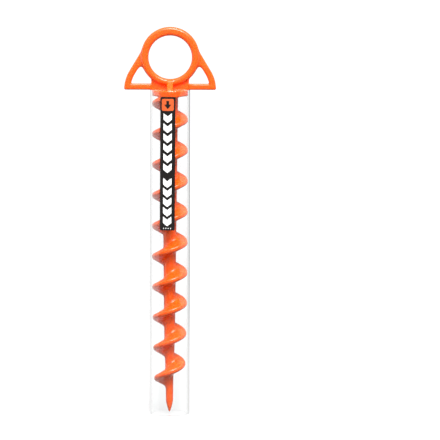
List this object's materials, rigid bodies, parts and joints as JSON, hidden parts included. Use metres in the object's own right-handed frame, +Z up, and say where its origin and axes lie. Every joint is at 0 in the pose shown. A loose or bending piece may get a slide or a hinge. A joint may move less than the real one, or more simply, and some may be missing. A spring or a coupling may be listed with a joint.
{
  "type": "tent stake",
  "caption": "Screw-in tent stake with a pull ring and a line loop on each side, stored point down in its clear tube, which it slides out of.",
  "frame": {"origin": "centre of the tube's foot, on the surface that the stored stake stands on", "axes": "+Z up the tube to the ring, +Y along the ring's bore to the back, -Y the front, with the label"},
  "size_m": [0.0756, 0.0332, 0.32],
  "materials": {
    "clear_plastic": "clear, glossy polycarbonate",
    "label_film": "black printed film, satin",
    "orange_plastic": "moulded, semi-gloss"
  },
  "bodies": {
    "tube": {"clear_tube": "clear_plastic", "label": "label_film"},
    "stake": {"ring_eye": "orange_plastic", "left_line_loop": "orange_plastic", "right_line_loop": "orange_plastic", "neck_web": "orange_plastic", "tube_plug": "orange_plastic", "shank": "orange_plastic", "screw_blade": "orange_plastic"}
  },
  "joints": [
    {"name": "stake_slide", "type": "slide", "parent": "tube", "child": "stake", "axis": [0, 0, 1], "range_m": [0, 0.27]}
  ]
}
